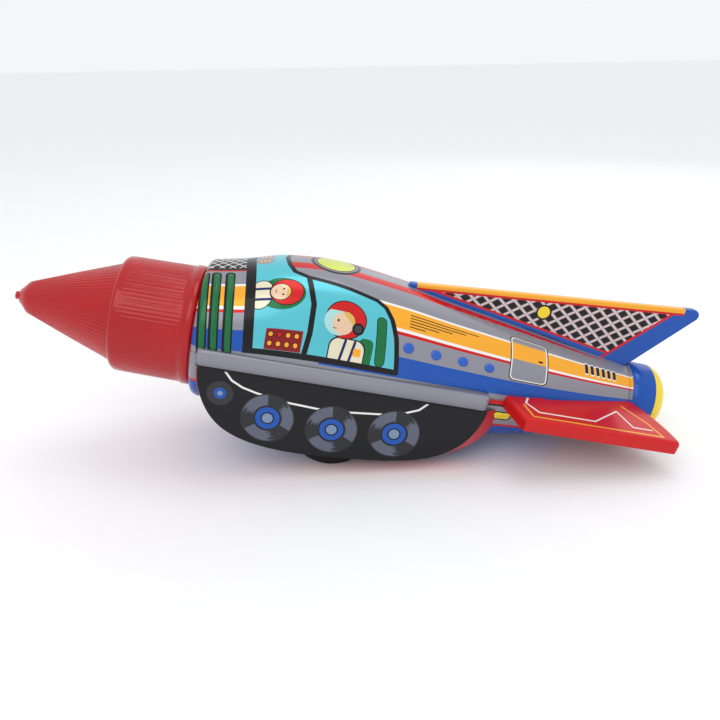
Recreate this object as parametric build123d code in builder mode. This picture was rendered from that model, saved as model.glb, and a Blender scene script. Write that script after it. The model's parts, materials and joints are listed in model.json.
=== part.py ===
from build123d import *
from math import acos, asin, atan2, cos, degrees, pi, radians, sin, sqrt, tan
import os

os.makedirs("parts", exist_ok=True)

# A tin space rocket with a friction motor. Lengths are in millimetres and angles in degrees.
# Stations are distances behind the nose tip along the nose's axis, heights are above that axis, and
# y is measured from the middle plane. The left side of the rocket is at negative y.

# Sheets and walls
tin = 0.5
plastic = 1.6
plate = 1.0

# Clearances
running_gap = 0.08
fit_gap = 0.1
panel_gap = 0.3
spark_gap = 0.2

# Nose cone and collar, in translucent plastic
nub_radius = 2.0
nub_length = 2.0
tip_station = 6.5
tip_radius = 8.0
cone_radius = 25.9
collar_front = 50.5
collar_front_radius = 29.0
collar_back_radius = 29.7
collar_edge = 2.5
flange_radius = 30.4
flange_width = 4.8
skirt_length = 13.0
spigot_length = 6.0

# Hull: front opening, shoulder, middle and tail
hull_front = 90.0
shoulder_radius = 35.2
shoulder_round = 4.5
bead_height = 0.3
belly_depth = 40.5
hull_half_width = 36.3
hull_top = 45.0
tail_band_front = 317.0
tail_band_back = 329.0
tail_band_radius = 18.8
tail_neck_radius = 17.5
tail_height = 1.1
tail_round = 9.5
tail_hole_radius = 2.5

# Ledge along each side of the upper shell
ledge_front = 94.0
ledge_back = 235.5
ledge_half_width = 38.2
ledge_top = 3.2
ledge_bottom = -5.2
ledge_corner = 3.0

# Track pods
pod_half_width = 37.4
pod_depth = 9.0
pod_front = 95.0
pod_back = 236.0
pod_bottom = -43.0

# Wings
wing_front = 250.5
wing_half_span = 51.5
wing_tip_station = 331.0
wing_droop = 6.0
wing_edge_height = 1.2
wing_lip = 6.4
wing_round = 2.4
wing_tip_round = 3.0

# Fin
fin_front = 190.0
fin_front_height = 42.6
fin_tip_station = 341.5
fin_tip_height = 52.4
fin_tip_round = 3.2
fin_root_station = 311.5
fin_half_thickness = 2.5
fin_edge_round = 1.1

# Tabs that hold the fin and the wings in the hull
tab_length = 7.0
tab_depth = 3.0

# Friction motor
axle_station = 164.0
axle_height = -32.5
axle_radius = 1.5
wheel_radius = 21.5
wheel_width = 8.0
wheel_outer_face = 27.0
hub_radius = 16.5
tyre_round = 1.5
hub_rim = 1.8
hub_web = 2.0
hub_boss_radius = 4.0
spacer_wall = 1.2
gear_module = 1.0
pressure_angle = 25.0
tooth_addendum = 0.8
tooth_dedendum = 1.1
tooth_backlash = 0.24
drive_teeth = 30
counter_teeth = 32
pinion_teeth = 10
gear_width = 3.0
pinion_width = 4.0
shaft_radius = 1.25
plate_half_gap = 12.5
plate_margin = 5.0
counter_angle = 125.0
flywheel_angle = 130.0
spark_angle = 192.0
flywheel_radius = 16.0
flywheel_width = 7.0
drive_side = 6.5
spark_wheel_radius = 9.0
spark_wheel_width = 4.0
flint_angle = 135.0
flint_length = 5.0
flint_side = 2.6
flint_arm_length = 10.0
flint_arm_width = 4.0
arm_thickness = 0.4
holder_wall = 0.5
pillar_radius = 1.6
wheel_slot_gap = 1.6

# Rest attitude. The rocket stands on its two driving wheels and on the round lower edge of its tail,
# so the nose points up by the angle at which one plane touches both.
tail_edge_height = tail_height - tail_band_radius + tail_round
reach = tail_band_back - axle_station
rise = tail_edge_height - axle_height
stand_angle = degrees(atan2(rise, reach) + asin((wheel_radius - tail_round) / sqrt(reach**2 + rise**2)))
lean = radians(stand_angle)
front_end = -nub_radius * sin(lean)
back_end = fin_tip_station * cos(lean) + fin_tip_height * sin(lean) + fin_tip_round
standing = Location(
    (
        -(front_end + back_end) / 2,
        0,
        axle_station * sin(lean) - axle_height * cos(lean) + wheel_radius,
    ),
    (0, stand_angle, 0),
)
nose_axis = Axis.X.located(standing)


def stand(plane):
    # A plane of the level rocket, moved with it into its standing attitude
    return Plane(standing * plane.location)


def cross_plane(station):
    return stand(Plane.YZ.offset(station))


def side_plane(y, station=0.0, height=0.0, turn=0.0):
    # Seen from the left: first axis towards the tail, second axis upwards, both turned by an angle
    x_dir = (cos(radians(turn)), 0, sin(radians(turn)))
    return stand(Plane(origin=(station, y, height), x_dir=x_dir, z_dir=(0, -1, 0)))


def deck_plane(height):
    return stand(Plane.XY.offset(height))


def block(stations, sides, heights):
    # A box in the rocket's own frame, from three (low, high) pairs
    pairs = (stations, sides, heights)
    with BuildPart() as box:
        with Locations(standing * Location(tuple((low + high) / 2 for low, high in pairs))):
            Box(*(high - low for low, high in pairs))
    return box.part


def other_side(piece):
    # The same piece on the right side of the rocket
    with BuildPart() as twin:
        mirror(piece.part, about=Plane.XZ)
    return twin


# ---------------------------------------------------------------- nose
collar_inner_face = collar_front + plastic
skirt_back = collar_inner_face + skirt_length
cone_flange_radius = collar_front_radius - plastic - fit_gap

with BuildPart() as nose_cone:
    with BuildSketch(side_plane(0)):
        with BuildLine():
            tip_edge = RadiusArc((nub_length, nub_radius), (tip_station, tip_radius), tip_radius)
            Polyline(
                tip_edge @ 1,
                (collar_inner_face, cone_radius),
                (collar_inner_face, cone_flange_radius),
                (collar_inner_face + plastic, cone_flange_radius),
                (collar_inner_face + plastic, cone_radius),
                (skirt_back, cone_radius),
                (skirt_back, cone_radius - plastic),
                (collar_inner_face, cone_radius - plastic),
                (tip_station + plastic, tip_radius - plastic / 2),
                (tip_station, 0),
                (0, 0),
                (0, nub_radius),
                (nub_length, nub_radius),
            )
        make_face()
    revolve(axis=nose_axis)

spigot_radius = collar_back_radius - tin
flange_front = hull_front - flange_width
opening_radius = cone_radius + panel_gap
with BuildPart() as nose_collar:
    with BuildSketch(side_plane(0)):
        with BuildLine():
            rim = RadiusArc(
                (collar_front, collar_front_radius - collar_edge),
                (collar_front + collar_edge, collar_front_radius),
                collar_edge,
            )
            Polyline(
                rim @ 1,
                (flange_front, collar_back_radius),
                (flange_front, flange_radius),
                (hull_front, flange_radius),
                (hull_front, spigot_radius),
                (hull_front + spigot_length, spigot_radius),
                (hull_front + spigot_length, spigot_radius - plastic),
                (flange_front, collar_back_radius - plastic),
                (collar_inner_face, collar_front_radius - plastic),
                (collar_inner_face, opening_radius),
                (collar_front, opening_radius),
                rim @ 0,
            )
        make_face()
    revolve(axis=nose_axis)


# ---------------------------------------------------------------- hull
# The hull is two halves that meet at the seam, in the plane of the nose's axis. Half a section is half
# a squared ellipse, above the seam (side 1) or below it (side -1), from its half width, reach and squareness.
section_steps = 12


def half_section(half_width, reach_out, power, side):
    points = [(half_width, 0)]
    for step in range(1, section_steps):
        angle = pi * step / section_steps
        across = abs(cos(angle)) ** (2 / power) * (1 if step < section_steps / 2 else -1)
        points.append((across * half_width, side * sin(angle) ** (2 / power) * reach_out))
    return points + [(-half_width, 0)]


shoulder_back = hull_front + shoulder_round + tin
hull_stations = (
    (shoulder_back, shoulder_radius, shoulder_radius, shoulder_radius, 2.0),
    (shoulder_back + 13.0, hull_half_width - 0.6, hull_top - 7.0, belly_depth - 4.0, 2.12),
    (shoulder_back + 34.0, hull_half_width, hull_top - 1.6, belly_depth - 1.0, 2.3),
    (axle_station - 14.0, hull_half_width, hull_top, belly_depth, 2.35),
    (axle_station + 20.0, hull_half_width - 0.4, hull_top - 3.3, belly_depth, 2.35),
    (axle_station + 48.0, hull_half_width - 1.8, hull_top - 8.2, belly_depth - 3.6, 2.3),
    (axle_station + 80.0, hull_half_width - 4.3, hull_top - 13.6, belly_depth - 9.2, 2.2),
    (axle_station + 120.0, tail_neck_radius + 8.2, hull_top - 20.7, tail_neck_radius + 4.4, 2.1),
    (tail_band_front, tail_neck_radius, tail_neck_radius + tail_height, tail_neck_radius - tail_height, 2.0),
)


def hull_loft(side, inset, past=0.0):
    # Half of the hull's middle as a solid, drawn in by inset. It may run past the seam and both ends,
    # so that what it cuts is cut cleanly.
    first, last = hull_stations[0], hull_stations[-1]
    stations = hull_stations
    if past:
        stations = ((first[0] - past, *first[1:]), *hull_stations, (last[0] + past, *last[1:]))
    with BuildPart() as solid:
        for station, half_width, top, depth, power in stations:
            half = half_width - inset
            with BuildSketch(cross_plane(station)):
                with BuildLine():
                    points = half_section(half, (top if side > 0 else depth) - inset, power, side)
                    over = Spline(*points, tangents=((0, side), (0, -side)))
                    if past:
                        Polyline(over @ 1, (-half, -side * past), (half, -side * past), over @ 0)
                    else:
                        Line(over @ 1, over @ 0)
                make_face()
        loft()
    return solid.part


# The turned front ring ends in a bead that the hull's middle butts against
bead_radius = shoulder_radius + bead_height
with BuildPart() as front_ring:
    with BuildSketch(side_plane(0)):
        with BuildLine():
            outer_round = RadiusArc(
                (hull_front, shoulder_radius - shoulder_round),
                (hull_front + shoulder_round, shoulder_radius),
                shoulder_round,
            )
            inner_round = RadiusArc(
                (hull_front + shoulder_round, shoulder_radius - tin),
                (hull_front + tin, shoulder_radius - shoulder_round),
                -(shoulder_round - tin),
            )
            Polyline(
                outer_round @ 1,
                (hull_front + shoulder_round, bead_radius),
                (shoulder_back, bead_radius),
                (shoulder_back, shoulder_radius - tin - bead_height),
                (hull_front + shoulder_round, shoulder_radius - tin - bead_height),
                inner_round @ 0,
            )
            opening = spigot_radius + fit_gap
            Polyline(inner_round @ 1, (hull_front + tin, opening), (hull_front, opening), outer_round @ 0)
        make_face()
    revolve(axis=nose_axis)

# The turned tail band starts with a flat wall that the hull's middle butts against
tail_end = tail_band_back + tail_round
tail_edge = tail_band_radius - tail_round
tail_axis = Axis((0, 0, tail_height), (1, 0, 0)).located(standing)


with BuildPart() as tail_form:
    with BuildSketch(stand(Plane.YZ.offset(tail_band_front))):
        with Locations((0, tail_height)):
            Circle(tail_band_radius)
    extrude(amount=tail_end - tail_band_front)

with BuildPart() as tail_band:
    with BuildSketch(side_plane(0)):
        with BuildLine():
            outer_round = RadiusArc(
                (tail_band_back, tail_height + tail_band_radius),
                (tail_end, tail_height + tail_edge),
                tail_round,
            )
            inner_round = RadiusArc(
                (tail_end - tin, tail_height + tail_edge),
                (tail_band_back, tail_height + tail_band_radius - tin),
                -(tail_round - tin),
            )
            Polyline(
                outer_round @ 1,
                (tail_end, tail_height + tail_hole_radius),
                (tail_end - tin, tail_height + tail_hole_radius),
                inner_round @ 0,
            )
            Polyline(
                inner_round @ 1,
                (tail_band_front + tin, tail_height + tail_band_radius - tin),
                (tail_band_front + tin, tail_height + tail_neck_radius - tin - bead_height),
                (tail_band_front, tail_height + tail_neck_radius - tin - bead_height),
                (tail_band_front, tail_height + tail_band_radius),
                outer_round @ 0,
            )
        make_face()
    revolve(axis=tail_axis)

upper_form, lower_form = hull_loft(1, 0.0), hull_loft(-1, 0.0)


def hull_size_at(station, column):
    # Half width (1), top (2) or depth (3) of the hull, between the stations that define it
    for low, high in zip(hull_stations, hull_stations[1:]):
        if low[0] <= station <= high[0]:
            share = (station - low[0]) / (high[0] - low[0])
            return low[column] + share * (high[column] - low[column])
    return hull_stations[-1][column]


def hull_middle(side):
    with BuildPart() as middle:
        add(upper_form if side > 0 else lower_form)
        add(hull_loft(side, tin, past=2 * tin), mode=Mode.SUBTRACT)
    return middle.part


def hull_sheet(side):
    with BuildPart() as sheet:
        for ring in (front_ring.part, tail_band.part):
            add(ring)
        split(bisect_by=deck_plane(0), keep=Keep.TOP if side > 0 else Keep.BOTTOM)
        add(hull_middle(side))
    return sheet.part


# ---------------------------------------------------------------- tabs and slots
ledge_length = ledge_back - ledge_front
notch_height = 2.5
notch_starts = (ledge_front + 34.0, ledge_front + 91.0)
notch_length = 9.5
fin_tab_starts = (fin_front + 22.0, fin_front + 58.0, fin_front + 94.0)
wing_tab_starts = (wing_front + 8.0, wing_front + 34.0)
motor_tab_starts = (axle_station - 25.0, axle_station - 3.0)
motor_tab_length = 6.0


def wing_plane(rise=0.0):
    # The top face of the left wing, with its origin above the wing's outer edge
    across = (0, -sin(radians(wing_droop)), cos(radians(wing_droop)))
    return stand(Plane((0, -wing_half_span, wing_edge_height), (1, 0, 0), across).offset(rise))


def wing_tabs(gap):
    with BuildPart() as tabs:
        for start in wing_tab_starts:
            middle = start + tab_length / 2
            root = (wing_half_span - hull_size_at(middle, 1)) / cos(radians(wing_droop))
            with BuildSketch(wing_plane(gap)):
                with Locations((middle, root + tab_depth / 2 - tin)):
                    Rectangle(tab_length + 2 * gap, tab_depth + 2 * tin)
            extrude(amount=-(tin + 2 * gap))
    return tabs.part


def fin_tabs(gap):
    outer = fin_half_thickness
    with BuildPart() as tabs:
        for start in fin_tab_starts:
            ridge = hull_size_at(start + tab_length / 2, 2)
            ends = (start - gap, start + tab_length + gap)
            add(block(ends, (-outer - gap, gap - outer + tin), (ridge - tab_depth, ridge + 4 * tin)))
    return tabs.part


def motor_tabs(gap):
    with BuildPart() as tabs:
        for start in motor_tab_starts:
            ends = (start - gap, start + motor_tab_length + gap)
            sides = (-plate_half_gap - plate - gap, gap - plate_half_gap)
            add(block(ends, sides, (-belly_depth - 2 * tin, axle_height - plate_margin / 2)))
    return tabs.part


# ---------------------------------------------------------------- upper shell
with BuildPart() as front_room:
    with BuildSketch(cross_plane(hull_front)):
        Circle(bead_radius - bead_height / 2)
    extrude(amount=shoulder_back - hull_front)

with BuildPart() as ledge:
    middle = (ledge_front + ledge_back) / 2
    with BuildSketch(deck_plane(ledge_bottom)):
        with Locations((middle, 0)):
            RectangleRounded(ledge_length, 2 * ledge_half_width, ledge_corner)
    extrude(amount=ledge_top - ledge_bottom)
    with BuildSketch(deck_plane(ledge_bottom)):
        with Locations((middle, 0)):
            inner_width = 2 * (ledge_half_width - tin)
            RectangleRounded(ledge_length - 2 * tin, inner_width, ledge_corner - tin)
    extrude(amount=ledge_top - ledge_bottom - tin, mode=Mode.SUBTRACT)
    for start in notch_starts:
        notch = (ledge_bottom, ledge_bottom + notch_height)
        whole_width = (-2 * ledge_half_width, 2 * ledge_half_width)
        add(block((start, start + notch_length), whole_width, notch), mode=Mode.SUBTRACT)
    for cut in (hull_loft(1, tin / 2), hull_loft(-1, -fit_gap), front_room.part):
        add(cut, mode=Mode.SUBTRACT)

with BuildPart() as upper_shell:
    add(hull_sheet(1))
    add(ledge.part)
    for slots in (wing_tabs(fit_gap), fin_tabs(fit_gap)):
        add(slots, mode=Mode.SUBTRACT)
        mirror(slots, about=Plane.XZ, mode=Mode.SUBTRACT)

# ---------------------------------------------------------------- lower shell
wheel_inner_face = wheel_outer_face - wheel_width
slot_half_length = wheel_radius + wheel_slot_gap
gear_outer_radius = gear_module * (drive_teeth / 2 + tooth_addendum)
gear_slot_half_length = gear_outer_radius + wheel_slot_gap
gear_slot_half_width = gear_width / 2 + wheel_slot_gap
below = (-2 * belly_depth, axle_height + wheel_radius + wheel_slot_gap)
with BuildPart() as lower_shell:
    add(hull_sheet(-1))
    slot_ends = (axle_station - slot_half_length, axle_station + slot_half_length)
    slot_sides = (wheel_inner_face - wheel_slot_gap, wheel_outer_face + wheel_slot_gap)
    for sides in (slot_sides, (-slot_sides[1], -slot_sides[0])):
        add(block(slot_ends, sides, below), mode=Mode.SUBTRACT)
    gear_ends = (axle_station - gear_slot_half_length, axle_station + gear_slot_half_length)
    gear_sides = (drive_side - gear_slot_half_width, drive_side + gear_slot_half_width)
    add(block(gear_ends, gear_sides, (below[0], axle_height)), mode=Mode.SUBTRACT)
    add(motor_tabs(fit_gap), mode=Mode.SUBTRACT)
    mirror(motor_tabs(fit_gap), about=Plane.XZ, mode=Mode.SUBTRACT)


# ---------------------------------------------------------------- track pods
pod_front_flare = 3.0
pod_back_flare = 10.0
pod_bottom_flare = 1.5
pod_top = ledge_bottom - fit_gap


def pod_outline(spread, inset):
    # The pod's lower outline: spread 0 on the flat outer panel, 1 along the open edge on the hull
    front = pod_front - spread * pod_front_flare + inset
    back = pod_back + spread * pod_back_flare - inset
    bottom = pod_bottom - spread * pod_bottom_flare + inset
    return (
        (front, pod_top),
        (front + 2.4, -19.0),
        (front + 12.0, 0.78 * bottom),
        (front + 34.0, bottom + 0.6),
        (axle_station + 1.0, bottom),
        (axle_station + 29.0, bottom + 2.6),
        (back - 17.0, bottom + 10.6),
        (back, pod_top),
    )


# Everything the turned front ring takes up, from the nose end to where the lofted middle starts
with BuildPart() as front_form:
    with BuildSketch(cross_plane(hull_front)):
        Circle(bead_radius)
    extrude(amount=shoulder_back - hull_front)

with BuildPart() as left_track_pod:
    for inset, mode in ((0.0, Mode.ADD), (tin, Mode.SUBTRACT)):
        for half_width, spread in ((pod_half_width - inset, 0.0), (pod_half_width - pod_depth, 1.0)):
            with BuildSketch(side_plane(-half_width)):
                with BuildLine():
                    keel = Spline(*pod_outline(spread, inset))
                    Line(keel @ 1, keel @ 0)
                make_face()
        loft(mode=mode)
    panel_sides = (-pod_half_width, tin - pod_half_width)
    add(block((pod_front + 4.0, pod_back - 4.0), panel_sides, (pod_top - tin, ledge_bottom + notch_height)))
    for start in notch_starts:
        ends = (start + fit_gap, start + notch_length - fit_gap)
        tab_heights = (ledge_bottom, ledge_bottom + notch_height)
        add(block(ends, (-ledge_half_width, tin - pod_half_width), tab_heights))
    for form in (upper_form, lower_form, front_form.part, tail_form.part):
        add(form, mode=Mode.SUBTRACT)
right_track_pod = other_side(left_track_pod)


# ---------------------------------------------------------------- wings
wing_up = Axis(wing_plane().origin, wing_plane().z_dir)
wing_root_front = wing_front - 8.5
wing_root_depth = wing_half_span - hull_half_width + 12.0
wing_trail_back = wing_tip_station - 18.0
wing_trail_depth = wing_half_span - 9.0


def wing_block(inset):
    # The pressed wing as a solid, drawn in by inset below its top and inside its free edges
    with BuildPart() as solid:
        with BuildSketch(wing_plane(-inset)) as outline:
            with BuildLine():
                front = Polyline(
                    (wing_root_front + inset, wing_root_depth),
                    (wing_front + inset, inset),
                    (wing_tip_station - inset, inset),
                )
                trail = ThreePointArc(
                    front @ 1,
                    (wing_tip_station - 4.5 - inset, 19.0),
                    (wing_trail_back - inset, wing_trail_depth),
                )
                Line(trail @ 1, front @ 0)
            make_face()
            corners = outline.vertices().sort_by(Axis.Y)[:2]
            fillet(corners.sort_by(nose_axis)[-1], radius=wing_tip_round - inset)
        extrude(amount=-wing_lip)
        upper_edges = solid.faces().sort_by(wing_up)[-1].edges().sort_by(Axis.Y)
        fillet(upper_edges[:-1], radius=wing_round - inset)
    return solid.part


with BuildPart() as left_wing:
    add(wing_block(0.0))
    add(wing_block(tin), mode=Mode.SUBTRACT)
    for form in (upper_form, lower_form, tail_form.part):
        add(form, mode=Mode.SUBTRACT)
    add(wing_tabs(0.0))
right_wing = other_side(left_wing)

# ---------------------------------------------------------------- fin
fin_nub_radius = 1.5
fin_corners = (
    (fin_tip_station, fin_tip_height, fin_tip_round),
    (fin_front + fin_nub_radius, fin_front_height - fin_nub_radius, fin_nub_radius),
    (fin_root_station, hull_size_at(fin_root_station, 2) - 2 * fin_nub_radius, fin_nub_radius),
)


def fin_outline(inset):
    with BuildSketch(side_plane(0)) as outline:
        for station, height, radius in fin_corners:
            with Locations((station, height)):
                Circle(radius - inset)
        make_hull()
    return outline.sketch


with BuildPart() as left_fin_half:
    extrude(fin_outline(0.0), amount=fin_half_thickness)
    outer_edges = left_fin_half.faces().sort_by(Axis.Y)[0].edges()
    fillet(outer_edges, radius=fin_edge_round)
    extrude(fin_outline(tin), amount=fin_half_thickness - tin, mode=Mode.SUBTRACT)
    for form in (upper_form, lower_form, tail_form.part):
        add(form, mode=Mode.SUBTRACT)
    add(fin_tabs(0.0))
right_fin_half = other_side(left_fin_half)


# ---------------------------------------------------------------- gear train
def along(start, angle, distance):
    return (start[0] + distance * cos(radians(angle)), start[1] + distance * sin(radians(angle)))


def mesh_distance(teeth_a, teeth_b):
    return gear_module * (teeth_a + teeth_b) / 2


axle_place = (axle_station, axle_height)
counter_place = along(axle_place, counter_angle, mesh_distance(drive_teeth, pinion_teeth))
flywheel_place = along(counter_place, flywheel_angle, mesh_distance(counter_teeth, pinion_teeth))
spark_place = along(counter_place, spark_angle, mesh_distance(counter_teeth, pinion_teeth))


def gear_outline(teeth, phase):
    # Involute teeth, the middle of one of them at the angle phase
    pitch_radius = gear_module * teeth / 2
    base_radius = pitch_radius * cos(radians(pressure_angle))
    tip = pitch_radius + tooth_addendum * gear_module
    root = pitch_radius - tooth_dedendum * gear_module
    start = max(base_radius, root + 0.05 * gear_module)
    flank = [root] + [start + share * (tip - start) for share in (0.0, 0.33, 0.67, 1.0)]

    def involute(radius):
        pressure = acos(min(1.0, base_radius / radius))
        return tan(pressure) - pressure

    half_at_pitch = pi / (2 * teeth) - tooth_backlash / (2 * pitch_radius)
    points = []
    for tooth in range(teeth):
        middle = radians(phase) + 2 * pi * tooth / teeth
        for side, radii in ((-1, flank), (1, flank[::-1])):
            for radius in radii:
                half = half_at_pitch + involute(pitch_radius) - involute(max(radius, base_radius))
                angle = middle + side * half
                points.append((radius * cos(angle), radius * sin(angle)))
    return points


def gear(place, y, width, teeth, phase, bore):
    with BuildPart() as wheel:
        with BuildSketch(side_plane(y, *place)):
            with BuildLine():
                Polyline(*gear_outline(teeth, phase), close=True)
            make_face()
            Circle(bore, mode=Mode.SUBTRACT)
        extrude(amount=width / 2, both=True)
    return wheel


def disc(place, y, width, outer, bore=0.0):
    with BuildPart() as wheel:
        with BuildSketch(side_plane(y, *place)):
            Circle(outer)
            if bore:
                Circle(bore, mode=Mode.SUBTRACT)
        extrude(amount=width / 2, both=True)
    return wheel


half_pinion_step = 180.0 / pinion_teeth
facing = 180.0 + half_pinion_step
counter_step = 360.0 / counter_teeth
spark_lag = ((spark_angle - flywheel_angle) % counter_step) * counter_teeth / pinion_teeth
shaft_end = plate_half_gap + plate + 0.6
drive_gear = gear(axle_place, drive_side, gear_width, drive_teeth, counter_angle, axle_radius)
counter_pinion = gear(
    counter_place, drive_side, pinion_width, pinion_teeth, counter_angle + facing, shaft_radius
)
counter_gear = gear(
    counter_place, -drive_side, gear_width, counter_teeth, flywheel_angle, shaft_radius
)
flywheel_pinion = gear(
    flywheel_place, -drive_side, pinion_width, pinion_teeth, flywheel_angle + facing, shaft_radius
)
spark_pinion = gear(
    spark_place, -drive_side, pinion_width, pinion_teeth, spark_angle + facing + spark_lag, shaft_radius
)
counter_shaft = disc(counter_place, 0, 2 * shaft_end, shaft_radius)
flywheel_shaft = disc(flywheel_place, 0, 2 * shaft_end, shaft_radius)
spark_shaft = disc(spark_place, 0, 2 * shaft_end, shaft_radius)
flywheel = disc(flywheel_place, 0, flywheel_width, flywheel_radius, shaft_radius)
spark_wheel = disc(spark_place, drive_side, spark_wheel_width, spark_wheel_radius, shaft_radius)

# ---------------------------------------------------------------- driving wheels
wheel_middle = wheel_outer_face - wheel_width / 2
axle_end = wheel_outer_face + 0.8
drive_axle = disc(axle_place, 0, 2 * axle_end, axle_radius)

with BuildPart() as left_wheel_hub:
    with BuildSketch(side_plane(-wheel_middle, *axle_place)):
        Circle(hub_radius)
        Circle(hub_radius - hub_rim, mode=Mode.SUBTRACT)
        Circle(hub_boss_radius)
    extrude(amount=wheel_width / 2, both=True)
    with BuildSketch(side_plane(-wheel_middle, *axle_place)):
        Circle(hub_radius)
    extrude(amount=hub_web / 2, both=True)
    with BuildSketch(side_plane(-wheel_middle, *axle_place)):
        Circle(axle_radius)
    extrude(amount=wheel_width, both=True, mode=Mode.SUBTRACT)
right_wheel_hub = other_side(left_wheel_hub)

with BuildPart() as left_tyre:
    with BuildSketch(side_plane(-wheel_middle, *axle_place)):
        Circle(wheel_radius)
        Circle(hub_radius, mode=Mode.SUBTRACT)
    extrude(amount=wheel_width / 2, both=True)
    tread_edges = left_tyre.edges().filter_by(GeomType.CIRCLE).group_by(SortBy.RADIUS)[-1]
    fillet(tread_edges, radius=tyre_round)
right_tyre = other_side(left_tyre)

with BuildPart() as axle_spacers:
    spacer_low = plate_half_gap + plate + panel_gap
    spacer_middle = (spacer_low + wheel_inner_face) / 2
    for side in (-1, 1):
        with BuildSketch(side_plane(side * spacer_middle, *axle_place)):
            Circle(axle_radius + spacer_wall)
            Circle(axle_radius, mode=Mode.SUBTRACT)
        extrude(amount=(wheel_inner_face - spacer_low) / 2, both=True)

# ---------------------------------------------------------------- flint
# The flint points at the spark wheel. Its arm pivots on a pin that lies square to the flint's line.
flint_tip = spark_wheel_radius + spark_gap
flint_back = flint_tip + flint_length
arm_middle = flint_back + holder_wall + arm_thickness / 2
pin_base = along(spark_place, flint_angle, arm_middle)
flint_pin_place = along(pin_base, flint_angle + 90.0, flint_arm_length)


def flint_plane(y=drive_side):
    return side_plane(y, *spark_place, turn=flint_angle)


with BuildPart() as flint:
    with BuildSketch(flint_plane()):
        with Locations(((flint_tip + flint_back) / 2, 0)):
            Rectangle(flint_length, flint_side)
    extrude(amount=flint_side / 2, both=True)

holder_width = flint_side + 2 * holder_wall
holder_mouth = flint_tip + 2.0
with BuildPart() as flint_holder:
    with BuildSketch(flint_plane()):
        with Locations(((holder_mouth + flint_back + holder_wall) / 2, 0)):
            Rectangle(flint_back + holder_wall - holder_mouth, holder_width)
    extrude(amount=holder_width / 2, both=True)
    add(flint.part, mode=Mode.SUBTRACT)

eye_radius = pillar_radius + running_gap
with BuildPart() as flint_arm:
    with BuildSketch(flint_plane()):
        with Locations((arm_middle, (flint_arm_length - eye_radius - holder_width / 2) / 2)):
            Rectangle(arm_thickness, flint_arm_length - eye_radius + holder_width / 2)
        with Locations((arm_middle, flint_arm_length)):
            Circle(eye_radius + arm_thickness)
            Circle(eye_radius, mode=Mode.SUBTRACT)
    extrude(amount=flint_arm_width / 2, both=True)

flint_pin = disc(flint_pin_place, 0, 2 * plate_half_gap, pillar_radius)

# ---------------------------------------------------------------- motor frame
pillar_places = (
    along(axle_place, 78.0, 29.0),
    along(flywheel_place, 90.0, flywheel_radius + 4.5),
    along(counter_place, 242.0, 20.6),
)
with BuildPart() as motor_pillars:
    for place in pillar_places:
        with BuildSketch(side_plane(0, *place)):
            Circle(pillar_radius)
        extrude(amount=plate_half_gap, both=True)

bearings = (
    (axle_place, axle_radius),
    (counter_place, shaft_radius),
    (flywheel_place, shaft_radius),
    (spark_place, shaft_radius),
)
with BuildPart() as left_motor_plate:
    with BuildSketch(side_plane(-plate_half_gap)):
        for place in (axle_place, pillar_places[0], pillar_places[1], flint_pin_place):
            with Locations(place):
                Circle(plate_margin)
        with Locations(pillar_places[2]):
            Circle(2 * pillar_radius)
        make_hull()
        for place, radius in bearings:
            with Locations(place):
                Circle(radius + running_gap, mode=Mode.SUBTRACT)
    extrude(amount=plate)
    add(motor_tabs(0.0))
right_motor_plate = other_side(left_motor_plate)

# ---------------------------------------------------------------- export
pieces = {
    "nose_cone": nose_cone,
    "nose_collar": nose_collar,
    "upper_shell": upper_shell,
    "lower_shell": lower_shell,
    "left_track_pod": left_track_pod,
    "right_track_pod": right_track_pod,
    "left_wing": left_wing,
    "right_wing": right_wing,
    "left_fin_half": left_fin_half,
    "right_fin_half": right_fin_half,
    "left_motor_plate": left_motor_plate,
    "right_motor_plate": right_motor_plate,
    "motor_pillars": motor_pillars,
    "flint_pin": flint_pin,
    "drive_axle": drive_axle,
    "left_wheel_hub": left_wheel_hub,
    "right_wheel_hub": right_wheel_hub,
    "left_tyre": left_tyre,
    "right_tyre": right_tyre,
    "axle_spacers": axle_spacers,
    "drive_gear": drive_gear,
    "counter_shaft": counter_shaft,
    "counter_pinion": counter_pinion,
    "counter_gear": counter_gear,
    "flywheel_shaft": flywheel_shaft,
    "flywheel": flywheel,
    "flywheel_pinion": flywheel_pinion,
    "spark_shaft": spark_shaft,
    "spark_pinion": spark_pinion,
    "spark_wheel": spark_wheel,
    "flint_arm": flint_arm,
    "flint_holder": flint_holder,
    "flint": flint,
}
for label, piece in pieces.items():
    piece.part.label = label
    export_step(piece.part, f"parts/{label}.step")

for label, place in (
    ("axle", axle_place),
    ("counter shaft", counter_place),
    ("flywheel shaft", flywheel_place),
    ("spark shaft", spark_place),
    ("flint pin", flint_pin_place),
):
    spot = (standing * Location((place[0], 0, place[1]))).position
    print(f"{label} at x {spot.X:.3f} z {spot.Z:.3f}")
print(f"standing angle {stand_angle:.3f}, nose tip at x {standing.position.X:.3f} z {standing.position.Z:.3f}")
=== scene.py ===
import json
from math import asin, ceil, cos, hypot, pi, radians, sin
import bmesh
import bpy
from mathutils import Matrix, Vector


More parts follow.
